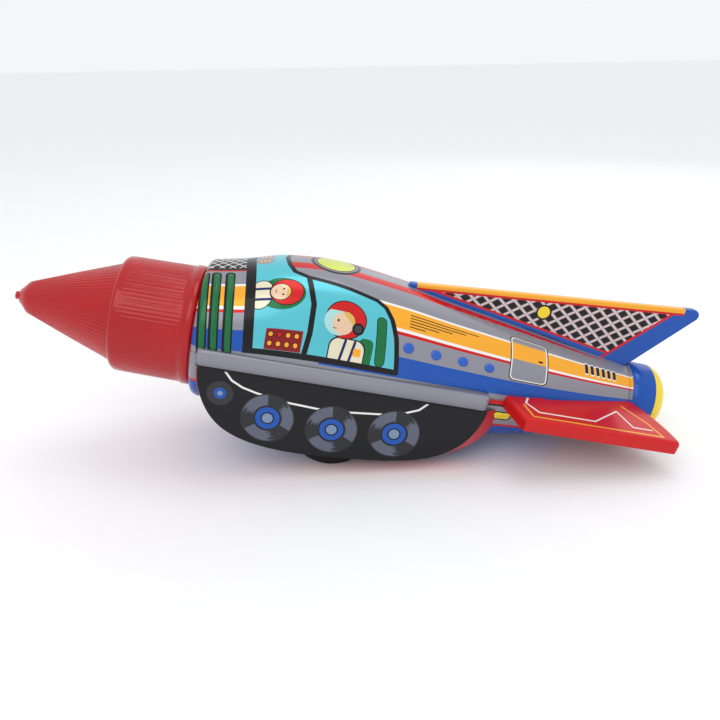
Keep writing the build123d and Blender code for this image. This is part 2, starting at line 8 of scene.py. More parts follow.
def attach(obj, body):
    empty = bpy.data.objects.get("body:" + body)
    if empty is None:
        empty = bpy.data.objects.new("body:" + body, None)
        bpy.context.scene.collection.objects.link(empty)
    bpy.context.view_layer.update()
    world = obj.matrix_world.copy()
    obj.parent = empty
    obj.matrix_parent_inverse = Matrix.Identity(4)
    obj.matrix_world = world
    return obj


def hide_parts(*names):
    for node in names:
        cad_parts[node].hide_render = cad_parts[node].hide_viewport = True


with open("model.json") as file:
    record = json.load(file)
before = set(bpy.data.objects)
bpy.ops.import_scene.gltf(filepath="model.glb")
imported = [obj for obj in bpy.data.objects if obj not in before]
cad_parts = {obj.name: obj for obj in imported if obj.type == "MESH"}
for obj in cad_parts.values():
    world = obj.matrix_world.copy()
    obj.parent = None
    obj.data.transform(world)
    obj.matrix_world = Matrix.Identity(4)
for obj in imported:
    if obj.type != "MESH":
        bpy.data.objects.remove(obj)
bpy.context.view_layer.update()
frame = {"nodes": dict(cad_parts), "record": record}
nodes = frame["nodes"]
print("frame loaded, nodes:", len(nodes))

# The rocket leans back on its wheels and tail. Stations run behind the nose tip in millimetres,
# sides are negative on the left, and heights are above the nose's axis.
stance = {"lean": 12.504, "noseX": -173.756, "noseZ": 88.736}
lean = radians(stance["lean"])
noseTip = Vector((stance["noseX"], 0, stance["noseZ"])) / 1000
backward = Vector((cos(lean), 0, -sin(lean)))
upward = Vector((sin(lean), 0, cos(lean)))


def place(station, side, height):
    return noseTip + backward * (station / 1000) + Vector((0, side / 1000, 0)) + upward * (height / 1000)


# camera and light
shot = {"azimuth": -7.961, "elevation": 22.5, "roll": 12.5, "distance": 356.93, "lens": 33.737,
        "aim": (174.008, 0.0, -4.26), "sensor": 36, "clip": (0.01, 200)}
az, el, roll = (radians(shot[k]) for k in ("azimuth", "elevation", "roll"))
toShip = Matrix((backward, Vector((0, 1, 0)), upward)).transposed()
back = toShip @ Vector((sin(az) * cos(el), -cos(az) * cos(el), sin(el)))
right = toShip @ Vector((cos(az), sin(az), 0))
up = right.cross(-back)
camRight = right * cos(roll) + up * sin(roll)
camUp = up * cos(roll) - right * sin(roll)
camera = bpy.data.objects.new("camera", bpy.data.cameras.new("camera"))
bpy.context.scene.collection.objects.link(camera)
camera.data.lens = shot["lens"]
camera.data.sensor_width = shot["sensor"]
camera.data.clip_start, camera.data.clip_end = shot["clip"]
turn = Matrix((camRight, camUp, back)).transposed().to_4x4()
camera.matrix_world = Matrix.Translation(place(*shot["aim"]) + back * (shot["distance"] / 1000)) @ turn
bpy.context.scene.camera = camera
bpy.context.scene.view_settings.view_transform = "Standard"

studio = {"worldTone": (0.93, 0.94, 0.96, 1), "worldStrength": 0.98,
          "lamps": [("keySoftbox", (-0.35, -0.75, 0.95), 0.7, 2.2), ("topSoftbox", (0.15, 0.05, 1.1), 0.5, 1.6),
                    ("backSoftbox", (0.5, 0.8, 0.6), 0.8, 0.8)]}
world = bpy.data.worlds.new("studio")
bpy.context.scene.world = world
world.use_nodes = True
sky = world.node_tree.nodes["Background"]
sky.inputs["Color"].default_value = studio["worldTone"]
sky.inputs["Strength"].default_value = studio["worldStrength"]
for name, spot, size, power in studio["lamps"]:
    lamp = bpy.data.lights.new(name, "AREA")
    lamp.size, lamp.energy = size, power
    holder = bpy.data.objects.new(name, lamp)
    holder.location = spot
    holder.rotation_euler = (-Vector(spot)).to_track_quat("-Z", "Y").to_euler()
    bpy.context.scene.collection.objects.link(holder)
print("camera and lights placed")


# small helpers for meshes
def makeMesh(name, points, faces, smooth=True):
    mesh = bpy.data.meshes.new(name)
    mesh.from_pydata([tuple(p) for p in points], [], faces)
    mesh.validate()
    mesh.polygons.foreach_set("use_smooth", [smooth] * len(mesh.polygons))
    piece = bpy.data.objects.new(name, mesh)
    bpy.context.scene.collection.objects.link(piece)
    return piece


def gridFaces(rows, columns, closedRows=False, closedColumns=False):
    faces = []
    for r in range(rows if closedRows else rows - 1):
        for c in range(columns if closedColumns else columns - 1):
            a, b = r * columns + c, r * columns + (c + 1) % columns
            d, e = ((r + 1) % rows) * columns + c, ((r + 1) % rows) * columns + (c + 1) % columns
            faces.append((a, b, e, d))
    return faces


def outward(piece):
    mesh = bmesh.new()
    mesh.from_mesh(piece.data)
    bmesh.ops.remove_doubles(mesh, verts=mesh.verts, dist=1e-6)
    bmesh.ops.recalc_face_normals(mesh, faces=mesh.faces)
    mesh.to_mesh(piece.data)
    mesh.free()
    piece.data.polygons.foreach_set("use_smooth", [True] * len(piece.data.polygons))
    return piece


def settle(piece, body, slotName, material, *replaced):
    piece.data.materials.clear()
    piece.data.materials.append(material)
    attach(piece, body)
    if replaced:
        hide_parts(*replaced)
    return piece


# a small printing kit that lays inks over each other
class Press:
    # u and v are millimetres along and up the printed sheet
    def __init__(self, name, tone, metal=0.2, rough=0.24, coat=0.12, shine=0.22):
        self.material = bpy.data.materials.new(name)
        self.material.use_nodes = True
        self.tree = self.material.node_tree
        self.shader = self.tree.nodes["Principled BSDF"]
        self.shader.inputs["Metallic"].default_value = metal
        self.shader.inputs["Coat Weight"].default_value = coat
        self.shader.inputs["Coat Roughness"].default_value = 0.05
        self.shader.inputs["Specular IOR Level"].default_value = shine
        self.rough = rough
        self.colour = tone
        coords = self.tree.nodes.new("ShaderNodeTexCoord")
        self.object = coords.outputs["Object"]
        self.station = self.along(backward)
        self.height = self.along(upward)
        self.side = self.math("MULTIPLY", self.split(self.object, "Y"), 1000.0)
        self.sheet = None

    def link(self, source, socket):
        if isinstance(source, (int, float)):
            socket.default_value = source
        elif isinstance(source, tuple):
            socket.default_value = source[:len(socket.default_value)]
        else:
            self.tree.links.new(source, socket)

    def math(self, operation, *values):
        node = self.tree.nodes.new("ShaderNodeMath")
        node.operation = operation
        for value, socket in zip(values, node.inputs):
            self.link(value, socket)
        return node.outputs[0]

    def vector(self, operation, *values, out=0):
        node = self.tree.nodes.new("ShaderNodeVectorMath")
        node.operation = operation
        for value, socket in zip(values, node.inputs):
            self.link(value, socket)
        return node.outputs[out]

    def split(self, source, axis):
        node = self.tree.nodes.new("ShaderNodeSeparateXYZ")
        self.link(source, node.inputs[0])
        return node.outputs[axis]

    def join(self, x, y, z=0.0):
        node = self.tree.nodes.new("ShaderNodeCombineXYZ")
        for value, socket in zip((x, y, z), node.inputs):
            self.link(value, socket)
        return node.outputs[0]

    def along(self, direction):
        offset = self.vector("SUBTRACT", self.object, tuple(noseTip))
        reach = self.vector("DOT_PRODUCT", offset, tuple(direction), out=1)
        return self.math("MULTIPLY", reach, 1000.0)

    def useSkin(self):
        # the skin's own places, stored with the mesh: station, millimetres up from the seam, side
        node = self.tree.nodes.new("ShaderNodeAttribute")
        node.attribute_name = "skin"
        self.sheet = self.join(self.split(node.outputs["Vector"], "X"), self.split(node.outputs["Vector"], "Y"))
        self.u, self.v = self.split(self.sheet, "X"), self.split(self.sheet, "Y")
        return self

    def useSheet(self, u, v):
        self.u, self.v = u, v
        self.sheet = self.join(u, v)
        return self

    # shapes
    def over(self, value, limit):
        return self.math("GREATER_THAN", value, limit)

    def under(self, value, limit):
        return self.math("LESS_THAN", value, limit)

    def both(self, *shapes):
        made = shapes[0]
        for shape in shapes[1:]:
            made = self.math("MULTIPLY", made, shape)
        return made

    def either(self, *shapes):
        made = shapes[0]
        for shape in shapes[1:]:
            made = self.math("MAXIMUM", made, shape)
        return made

    def outside(self, shape):
        return self.math("SUBTRACT", 1.0, shape)

    def band(self, value, low, high):
        return self.both(self.over(value, low), self.under(value, high))

    def panel(self, u0, u1, v0, v1, corner=0.0):
        middle = ((u0 + u1) / 2, (v0 + v1) / 2, 0.0)
        half = ((u1 - u0) / 2 - corner, (v1 - v0) / 2 - corner, 0.0)
        away = self.vector("ABSOLUTE", self.vector("SUBTRACT", self.sheet, middle))
        away = self.vector("MAXIMUM", self.vector("SUBTRACT", away, half), (0.0, 0.0, 0.0))
        return self.under(self.vector("LENGTH", away, out=1), corner + 0.01)

    def oval(self, u, v, ru, rv=None):
        away = self.vector("SUBTRACT", self.sheet, (u, v, 0.0))
        away = self.vector("DIVIDE", away, (ru, rv or ru, 1.0))
        return self.under(self.vector("LENGTH", away, out=1), 1.0)

    def stroke(self, points, width):
        made = []
        for (u0, v0), (u1, v1) in zip(points, points[1:]):
            du, dv = u1 - u0, v1 - v0
            square = du * du + dv * dv
            away = self.vector("SUBTRACT", self.sheet, (u0, v0, 0.0))
            share = self.vector("DOT_PRODUCT", away, (du / square, dv / square, 0.0), out=1)
            share = self.math("MINIMUM", self.math("MAXIMUM", share, 0.0), 1.0)
            foot = self.join(self.math("MULTIPLY", share, du), self.math("MULTIPLY", share, dv))
            made.append(self.under(self.vector("LENGTH", self.vector("SUBTRACT", away, foot), out=1), width / 2))
        return self.either(*made)

    def leaning(self, u0, v0, slope):
        # true behind a line through (u0, v0); slope is how far the line moves back per millimetre up
        edge = self.math("ADD", self.math("MULTIPLY", self.math("SUBTRACT", self.v, v0), slope), u0)
        return self.math("GREATER_THAN", self.u, edge)

    def ink(self, shape, tone):
        node = self.tree.nodes.new("ShaderNodeMix")
        node.data_type = "RGBA"
        self.link(shape, node.inputs[0])
        self.link(self.colour, node.inputs[6])
        self.link(tone, node.inputs[7])
        self.colour = node.outputs[2]

    def outlined(self, u, v, ru, rv, edge, tone):
        self.ink(self.oval(u, v, ru, rv), inks["black"])
        inside = self.oval(u, v, ru - edge, rv - edge)
        self.ink(inside, tone)
        return inside

    def finishPress(self, wear=0.08, grain=260.0, bump=0.02):
        # faint tint variation, fine scuffs in the lacquer and a slight ripple in the metal
        cloud = self.tree.nodes.new("ShaderNodeTexNoise")
        self.link(self.object, cloud.inputs["Vector"])
        cloud.inputs["Scale"].default_value = 38.0
        cloud.inputs["Detail"].default_value = 3.0
        shade = self.tree.nodes.new("ShaderNodeMapRange")
        self.link(cloud.outputs[0], shade.inputs[0])
        shade.inputs[3].default_value, shade.inputs[4].default_value = 1 - wear, 1 + wear / 2
        tinted = self.tree.nodes.new("ShaderNodeMix")
        tinted.data_type, tinted.blend_type = "RGBA", "MULTIPLY"
        tinted.inputs[0].default_value = 1.0
        self.link(self.colour, tinted.inputs[6])
        self.link(self.join(shade.outputs[0], shade.outputs[0], shade.outputs[0]), tinted.inputs[7])
        self.link(tinted.outputs[2], self.shader.inputs["Base Color"])
        fine = self.tree.nodes.new("ShaderNodeTexNoise")
        self.link(self.object, fine.inputs["Vector"])
        fine.inputs["Scale"].default_value = grain
        scuff = self.tree.nodes.new("ShaderNodeMapRange")
        self.link(fine.outputs[0], scuff.inputs[0])
        scuff.inputs[3].default_value, scuff.inputs[4].default_value = self.rough * 0.85, self.rough * 1.2
        self.link(scuff.outputs[0], self.shader.inputs["Roughness"])
        relief = self.tree.nodes.new("ShaderNodeBump")
        relief.inputs["Strength"].default_value = bump
        relief.inputs["Distance"].default_value = 0.0004
        self.link(cloud.outputs[0], relief.inputs["Height"])
        self.link(relief.outputs[0], self.shader.inputs["Normal"])
        return self.material


def tone(r, g, b):
    return (r, g, b, 1.0)


inks = {"red": tone(0.60, 0.012, 0.012), "deepRed": tone(0.26, 0.01, 0.012), "grey": tone(0.27, 0.27, 0.31),
        "white": tone(0.86, 0.85, 0.82), "amber": tone(0.90, 0.40, 0.03), "yellow": tone(0.90, 0.68, 0.04),
        "blue": tone(0.015, 0.09, 0.42), "black": tone(0.008, 0.008, 0.01),
        "cyan": tone(0.10, 0.52, 0.60), "green": tone(0.01, 0.16, 0.05), "lime": tone(0.62, 0.72, 0.08),
        "skin": tone(0.80, 0.55, 0.38), "cream": tone(0.78, 0.72, 0.52), "hair": tone(0.70, 0.45, 0.10),
        "navy": tone(0.01, 0.02, 0.12), "pink": tone(0.50, 0.38, 0.40), "steelBlue": tone(0.20, 0.28, 0.42)}

# each hull section: station, half width, top and squareness of each section above the seam
hullShape = {"sections": ((95, 35.2, 35.2, 2.0), (108, 35.7, 38.0, 2.12), (129, 36.3, 43.4, 2.3),
                          (150, 36.3, 45.0, 2.35), (184, 35.9, 41.7, 2.35), (212, 34.5, 36.8, 2.3),
                          (244, 32.0, 31.4, 2.2), (284, 25.7, 24.3, 2.1), (317, 17.5, 18.6, 2.0)),
             "skinPerDegree": 0.69, "sheet": 0.5}
frontRing = {"back": 94.5, "radius": 35.2, "round": 4.5}
tailBand = {"front": 317.0, "flat": 323.0, "back": 329.0, "radius": 18.8, "round": 9.5, "hole": 2.5,
            "height": 1.1}


def sectionAt(station):
    rows = hullShape["sections"]
    station = min(max(station, rows[0][0]), rows[-1][0] - 1e-6)
    k = max(i for i in range(len(rows) - 1) if rows[i][0] <= station)
    span = rows[k + 1][0] - rows[k][0]
    t = (station - rows[k][0]) / span

    def slope(i, c):
        if i in (0, len(rows) - 1):
            j = min(i, len(rows) - 2)
            return (rows[j + 1][c] - rows[j][c]) / (rows[j + 1][0] - rows[j][0])
        a = (rows[i][c] - rows[i - 1][c]) / (rows[i][0] - rows[i - 1][0])
        b = (rows[i + 1][c] - rows[i][c]) / (rows[i + 1][0] - rows[i][0])
        return 0 if a * b <= 0 else 2 * a * b / (a + b)

    return [(2 * t**3 - 3 * t * t + 1) * rows[k][c] + (t**3 - 2 * t * t + t) * span * slope(k, c)
            + (3 * t * t - 2 * t**3) * rows[k + 1][c] + (t**3 - t * t) * span * slope(k + 1, c) for c in (1, 2, 3)]


def hullPoint(station, angle, lift=0.0):
    # angle 0 is the left seam, 90 the ridge and 180 the right seam
    width, top, power = sectionAt(station)
    c, s = cos(radians(angle)), max(0.0, sin(radians(angle)))
    side = -(width + lift) * abs(c) ** (2 / power) * (1 if c > 0 else -1)
    return station, side, (top + lift) * s ** (2 / power)


# nose, in fluted clear red plastic
noseShape = {"cone": ((0.0, 2.0), (2.0, 2.0), (2.3, 3.6), (6.5, 8.0), (29.0, 17.0), (52.1, 25.9), (65.1, 25.9)),
             "coneWall": 1.6, "coneFlutes": 72, "coneFluteDepth": 0.16,
             "collar": ((50.5, 26.4), (50.9, 27.9), (52.2, 28.8), (54.0, 29.0), (84.9, 29.7), (85.2, 30.4),
                        (89.9, 30.4), (89.9, 29.2), (96.0, 29.2)),
             "collarWall": 1.6, "collarFlutes": 90, "collarFluteDepth": 0.13, "around": 720,
             "coneFluted": (7.5, 51.0), "collarFluted": (54.5, 84.0), "rowStep": 2.5, "bore": 0.3}


def flutedShell(name, part):
    g, profile = noseShape, noseShape[part]
    fluteFrom, fluteTo = g[part + "Fluted"]
    rows = []
    for (x0, r0), (x1, r1) in zip(profile, profile[1:]):
        steps = max(2, ceil(hypot(x1 - x0, r1 - r0) / g["rowStep"]))
        rows += [(x0 + (x1 - x0) * k / steps, r0 + (r1 - r0) * k / steps) for k in range(steps)]
    rows.append(profile[-1])
    inner = [(x, max(r - g[part + "Wall"], g["bore"])) for x, r in reversed(rows)]
    points = []
    for x, r in rows + inner:
        fluted = (x, r) in rows and fluteFrom < x < fluteTo
        for k in range(g["around"]):
            a = 2 * pi * k / g["around"]
            wave = 0.5 + 0.5 * cos(g[part + "Flutes"] * a)
            here = r - g[part + "FluteDepth"] * wave if fluted else r
            points.append(place(x, here * cos(a), here * sin(a)))
    return outward(makeMesh(name, points, gridFaces(2 * len(rows), g["around"], True, True)))


def clearPlastic(name, colour):
    material = bpy.data.materials.new(name)
    material.use_nodes = True
    tree, shader = material.node_tree, material.node_tree.nodes["Principled BSDF"]
    shader.inputs["Transmission Weight"].default_value = 0.5
    shader.inputs["IOR"].default_value = 1.46
    cloud = tree.nodes.new("ShaderNodeTexNoise")
    cloud.inputs["Scale"].default_value = 55.0
    coords = tree.nodes.new("ShaderNodeTexCoord")
    tree.links.new(coords.outputs["Object"], cloud.inputs["Vector"])
    ramp = tree.nodes.new("ShaderNodeValToRGB")
    ramp.color_ramp.elements[0].color = colour
    ramp.color_ramp.elements[1].color = tuple(min(1, c * 1.22) for c in colour[:3]) + (1,)
    tree.links.new(cloud.outputs[0], ramp.inputs[0])
    tree.links.new(ramp.outputs[0], shader.inputs["Base Color"])
    gloss = tree.nodes.new("ShaderNodeMapRange")
    gloss.inputs[3].default_value, gloss.inputs[4].default_value = 0.10, 0.22
    tree.links.new(cloud.outputs[0], gloss.inputs[0])
    tree.links.new(gloss.outputs[0], shader.inputs["Roughness"])
    relief = tree.nodes.new("ShaderNodeBump")
    relief.inputs["Strength"].default_value = 0.04
    relief.inputs["Distance"].default_value = 0.0003
    tree.links.new(cloud.outputs[0], relief.inputs["Height"])
    tree.links.new(relief.outputs[0], shader.inputs["Normal"])
    return material


clearRed = clearPlastic("clearRedPlastic", (0.62, 0.004, 0.007, 1))
for name, part, replaced in (("flutedNoseCone", "cone", "nose_cone"),
                             ("flutedNoseCollar", "collar", "nose_collar")):
    settle(flutedShell(name, part), "rocket", "clear_red", clearRed, replaced)
print("nose made")

# upper skin, with its raised ribs
skinShape = {"stationStep": 1.0, "angleStep": 2.0, "ribStations": (95.6, 101.0, 107.4), "ribHalfWidth": 1.7,
             "ribRise": 0.9, "ribAngles": (0.5, 68.0), "ribFade": 4, "forward": 0.1, "front": 96.0, "fineTo": 114}


def ribLift(station, angle):
    angle = min(angle, 180 - angle)
    low, high = skinShape["ribAngles"]
    run = skinShape["ribFade"]
    fade = min(1.0, max(0.0, (angle - low) / run), max(0.0, (high - angle) / run))
    leaned = station + skinShape["forward"] * angle * hullShape["skinPerDegree"]
    reach = min(abs(leaned - s) for s in skinShape["ribStations"]) / skinShape["ribHalfWidth"]
    return skinShape["ribRise"] * fade * (0.5 + 0.5 * cos(pi * reach)) if reach < 1 and fade > 0 else 0.0


def skinRows():
    # station, then radius and axis height where the row is round
    ring, tail = frontRing, tailBand
    flat = ring["radius"] - ring["round"]
    for degree in range(0, 91, 15):
        turned = ring["round"] * sin(radians(degree))
        yield ring["back"] - ring["round"] * cos(radians(degree)), flat + turned, None
    station, meet = skinShape["front"], tail["front"] - 0.1
    while station < meet:
        yield station, None, None
        station += skinShape["stationStep"] / (2 if station < skinShape["fineTo"] else 1)
    yield meet, None, None
    for station in (tail["front"], tail["flat"], tail["back"]):
        yield station, tail["radius"], tail["height"]
    flat = tail["radius"] - tail["round"]
    for degree in range(10, 91, 10):
        turned = tail["round"] * sin(radians(degree))
        yield tail["back"] + turned, flat + tail["round"] * cos(radians(degree)), tail["height"]
    yield tail["back"] + tail["round"], tail["hole"], tail["height"]


def upperSkin():
    points, skin = [], []
    columns = int(180 / skinShape["angleStep"]) + 1
    rows = list(skinRows())
    for station, radius, axis in rows:
        for k in range(columns):
            angle = k * skinShape["angleStep"]
            if radius is None:
                spot = hullPoint(station, angle, ribLift(station, angle))
            else:
                centre = axis or 0.0
                low = -asin(min(1.0, centre / max(radius, centre + 0.01)))
                a = low + (pi - 2 * low) * k / (columns - 1)
                spot = (station, -radius * cos(a), centre + radius * sin(a))
            points.append(place(*spot))
            skin.append((station, min(angle, 180 - angle) * hullShape["skinPerDegree"], angle - 90))
    piece = makeMesh("printedUpperSkin", points, gridFaces(len(rows), columns))
    marks = piece.data.attributes.new("skin", "FLOAT_VECTOR", "POINT")
    marks.data.foreach_set("vector", [v for row in skin for v in row])
    thick = piece.modifiers.new("sheet", "SOLIDIFY")
    thick.thickness, thick.offset = hullShape["sheet"] / 1000, -1
    if piece.data.polygons[len(piece.data.polygons) // 2].normal.z < 0:
        piece.data.flip_normals()
    return piece


# stripe rows are colour, lowest and highest section angle; the speed lines are generic
stripeShape = {"rows": (("red", 33, 35.5), ("white", 35.5, 38), ("amber", 38, 55), ("white", 55, 57),
                        ("red", 75, 91)),
               "rearBlue": (4.6, 17.8), "rearBlueFrom": 150.0, "frontBlue": (6, 20.5), "frontEnd": 114.6,
               "ridgeHalf": 5.5, "ridgeFrom": 50.0, "speedFrom": 190, "speedThick": 0.8,
               "speedLines": ((51.5, 226), (49.0, 219), (46.5, 212), (44.0, 205), (41.5, 198))}


def printStripes(p, front):
    g, k = stripeShape, hullShape["skinPerDegree"]
    for colour, low, high in g["rows"]:
        p.ink(p.band(p.v, low * k, high * k), inks[colour])
    for (low, high), where in ((g["rearBlue"], p.over(p.u, g["rearBlueFrom"])), (g["frontBlue"], front)):
        p.ink(p.both(p.band(p.v, low * k, high * k), where), inks["blue"])
    ridge = p.under(p.math("ABSOLUTE", p.side), g["ridgeHalf"])
    p.ink(p.both(ridge, p.over(p.v, g["ridgeFrom"])), inks["grey"])
    for top, end in g["speedLines"]:
        p.ink(p.panel(g["speedFrom"], end, (top - g["speedThick"]) * k, top * k), inks["black"])


# lattice patch over the nose end, with a red line under it, and the ribs' black and green
noseEnd = {"patchFrom": 73, "weaveFrom": 76, "pitch": 5.0, "thread": 0.13, "redLine": (71.5, 73),
           "ribs": (("black", -2.3, 2.3, -1.0, 70, 2.2), ("green", -1.1, 1.5, 0.5, 68.5, 1.2))}


def printNoseEnd(p, front, leaned):
    g, k = noseEnd, hullShape["skinPerDegree"]
    p.ink(p.both(front, p.over(p.v, g["patchFrom"] * k)), inks["black"])
    for slope in (-1.0, 1.0):
        across = p.math("ADD", p.u, p.math("MULTIPLY", p.side, slope))
        wave = p.math("FRACT", p.math("DIVIDE", across, g["pitch"]))
        p.ink(p.both(front, p.over(p.v, g["weaveFrom"] * k), p.under(wave, g["thread"])), inks["white"])
    low, high = g["redLine"]
    p.ink(p.both(front, p.band(p.v, low * k, high * k)), inks["red"])
    plain, p.sheet = p.sheet, p.join(leaned, p.v)
    for station in skinShape["ribStations"]:
        for colour, fore, aft, low, top, corner in g["ribs"]:
            p.ink(p.panel(station + fore, station + aft, low, top * k, corner), inks[colour])
    p.sheet = plain


# two panes behind a black frame; a slant is a point on an edge and how far it moves back per mm up
paneShape = {"frame": (114.6, 119.4, 150.0), "sill": (3.8, 6.3), "sillReach": (140.0, 187.5), "glassLow": 6.2,
             "frontFrom": 119.3, "frontBack": 143.2, "frontTop": 45.0, "crownLow": 44.9,
             "frontSlant": (143.2, 28.6, -0.27), "crownSlant": (134.5, 46.0, -0.46), "rearFrom": 141.0,
             "rearSlants": ((175.0, 37.9, -0.694), (180.0, 30.7, -0.27)), "rearFall": 0.18, "rearTop": 69.4,
             "dial": (117.5, 59.0, 4.6, 3.6), "dialTicks": (115.2, 1.9, 0.9, 57.5, 60.5),
             "divider": (((142.4, 5.0), (143.6, 15.0), (143.4, 28.6), (139.4, 44.2)), 2.6),
             "outline": (((127.8, 63.0), (129.6, 54.0), (132.5, 48.0), (139.4, 44.4), (160, 41.0), (173, 38.4),
                          (177.6, 35.4), (181.2, 29.4), (184.4, 20.4), (187.2, 5.0)), 2.3)}


def printPanes(p, leaned):
    g = paneShape
    frameFront, frameInner, frameBack = g["frame"]
    sillLow, sillTop = g["sill"]
    frameBox = p.both(p.over(leaned, frameFront), p.over(p.v, sillLow), p.under(p.u, frameBack))
    side = p.both(p.under(p.v, g["frontTop"]), p.under(p.u, g["frontBack"]),
                  p.outside(p.leaning(*g["frontSlant"])))
    crown = p.both(p.over(p.v, g["crownLow"]), p.outside(p.leaning(*g["crownSlant"])))
    frontPane = p.both(p.over(leaned, g["frontFrom"]), p.over(p.v, g["glassLow"]), p.either(side, crown))
    rearEdge = p.both(*(p.outside(p.leaning(*slant)) for slant in g["rearSlants"]))
    below = p.under(p.math("ADD", p.v, p.math("MULTIPLY", p.u, g["rearFall"])), g["rearTop"])
    rearPane = p.both(p.over(p.u, g["rearFrom"]), p.over(p.v, g["glassLow"]), below, rearEdge)
    p.ink(p.both(frameBox, p.either(p.under(leaned, frameInner), p.under(p.v, sillTop))), inks["black"])
    p.ink(p.both(p.band(p.v, sillLow, sillTop), p.band(p.u, *g["sillReach"])), inks["black"])
    p.ink(p.either(frontPane, rearPane), inks["cyan"])
    p.ink(p.both(frontPane, p.oval(*g["dial"])), inks["grey"])
    first, pitch, width, low, high = g["dialTicks"]
    for tick in range(3):
        start = first + pitch * tick
        p.ink(p.both(frontPane, p.panel(start, start + width, low, high)), inks["amber"])
    return frontPane, rearPane


# generic pilot, lying back with the head towards the tail; round shapes are u, v and two radii
frontPilot = {"seat": (128, 33.5, 11.0, 9.0), "suit": (118.5, 32.5, 6.0, 8.4), "straps": (29.5, 35.5),
              "strapReach": (112, 123.6), "strapHalf": 0.7, "helmet": (130.2, 34.2, 8.0, 7.6),
              "face": (127.4, 33.9, 5.0, 4.8), "edge": 0.5, "faceEdge": 0.4, "hairFrom": 130.2,
              "eyes": ((128.6, 32.3), (128.6, 35.5)), "eye": (0.6, 0.45),
              "mouth": ((125.2, 33.1), (125.2, 34.7)), "mouthWidth": 0.4}


def printFrontPilot(p, pane):
    g = frontPilot
    p.ink(p.both(pane, p.oval(*g["seat"])), inks["green"])
    u, v, ru, rv = g["suit"]
    p.ink(p.both(pane, p.oval(u, v, ru, rv)), inks["black"])
    p.ink(p.both(pane, p.oval(u, v, ru - g["edge"], rv - g["edge"])), inks["cream"])
    for strap in g["straps"]:
        reach = p.panel(*g["strapReach"], strap - g["strapHalf"], strap + g["strapHalf"])
        p.ink(p.both(pane, reach), inks["navy"])
    p.outlined(*g["helmet"], g["edge"], inks["red"])
    face = p.outlined(*g["face"], g["faceEdge"], inks["skin"])
    p.ink(p.both(face, p.over(p.u, g["hairFrom"])), inks["hair"])
    for eye in g["eyes"]:
        p.ink(p.oval(*eye, *g["eye"]), inks["black"])
    p.ink(p.stroke(g["mouth"], g["mouthWidth"]), inks["deepRed"])


# instrument panel with two rows of four lamps
lampPanel = {"panel": (123.6, 140.6, 6.3, 15.4, 0.3), "rows": (8.9, 12.9), "first": 125.9, "pitch": 4.0,
             "radius": 1.4, "edge": 0.4, "redLamp": (1, 1)}


def printLampPanel(p):
    g = lampPanel
    p.ink(p.panel(*g["panel"]), inks["deepRed"])
    for row, height in enumerate(g["rows"]):
        for column in range(4):
            colour = "red" if (row, column) == g["redLamp"] else "amber"
            along = g["first"] + g["pitch"] * column
            p.outlined(along, height, g["radius"], g["radius"], g["edge"], inks[colour])


# generic pilot, seen from the side and looking forward
rearPilot = {"rest": ((178.2, 8.4), (176.4, 27.0)), "restWidths": (("black", 5.0), ("green", 4.3)),
             "seat": (167, 174.0, 2.0, 17, 2.5), "suitEdge": (153.0, 170.6, 2.0, 15.6, 4.5),
             "suit": (153.6, 170.0, 2.0, 15.0, 4.2), "straps": (158.5, 163.0), "strapRise": (2.2, 2.5, 14.4),
             "strapWidth": 1.3, "patch": (165.0, 168.6, 8.5, 11.8, 0.5), "helmet": (159.4, 24.2, 9.8, 9.4),
             "edge": 0.5, "visor": (156.0, 22.6, 6.8, 6.6), "visorTop": 27.6, "visorTone": (0.42, 0.70, 0.68),
             "face": (158.2, 21.8, 5.0, 5.2), "hair": (159.0, 23.4, 4.6, 4.2), "hairFrom": 184.6,
             "eye": (155.8, 22.9, 0.5, 0.7), "mouth": ((153.9, 19.2), (155.3, 19.0)), "mouthWidth": 0.4,
             "earpiece": (165.6, 20.6, 2.9), "earpieceInner": 1.8, "earTone": (0.05, 0.05, 0.06)}


def printRearPilot(p, pane):
    g = rearPilot
    for colour, width in g["restWidths"]:
        p.ink(p.stroke(g["rest"], width), inks[colour])
    for shape, colour in (("seat", "green"), ("suitEdge", "black"), ("suit", "cream")):
        p.ink(p.both(pane, p.panel(*g[shape])), inks[colour])
    lean, low, high = g["strapRise"]
    for strap in g["straps"]:
        p.ink(p.both(pane, p.stroke(((strap, low), (strap + lean, high)), g["strapWidth"])), inks["navy"])
    p.ink(p.panel(*g["patch"]), inks["amber"])
    p.outlined(*g["helmet"], g["edge"], inks["red"])
    p.ink(p.both(p.oval(*g["visor"]), p.under(p.v, g["visorTop"])), tone(*g["visorTone"]))
    p.ink(p.oval(*g["face"]), inks["skin"])
    p.ink(p.both(p.oval(*g["hair"]), p.over(p.math("ADD", p.u, p.v), g["hairFrom"])), inks["hair"])
    p.ink(p.oval(*g["eye"]), inks["black"])
    p.ink(p.stroke(g["mouth"], g["mouthWidth"]), inks["deepRed"])
    p.ink(p.oval(*g["earpiece"]), inks["black"])
    p.ink(p.oval(*g["earpiece"][:2], g["earpieceInner"]), tone(*g["earTone"]))


# ridge lamp rings, outside first; then a hatch with a small handle, six vents and the tail band
ridgeLamp = {"station": 152.0, "rings": ((12.6, "black"), (11.0, "grey"), (10.2, "black"), (9.5, "lime"))}
hatch = {"front": 243.5, "back": 265, "low": 13.0, "top": 44.5,
         "layers": ((0.0, 3.0, "black"), (0.6, 2.6, "white"), (1.2, 2.3, "grey")), "amber": (39.5, 57),
         "handle": (260.5, 29.5, 1.5, 0.8)}
vents = {"count": 6, "first": 288, "pitch": 3.5,
         "layers": ((1.1, 29.0, 40.5, 1.0, "white"), (1.0, 30.2, 39.3, 0.9, "black"))}


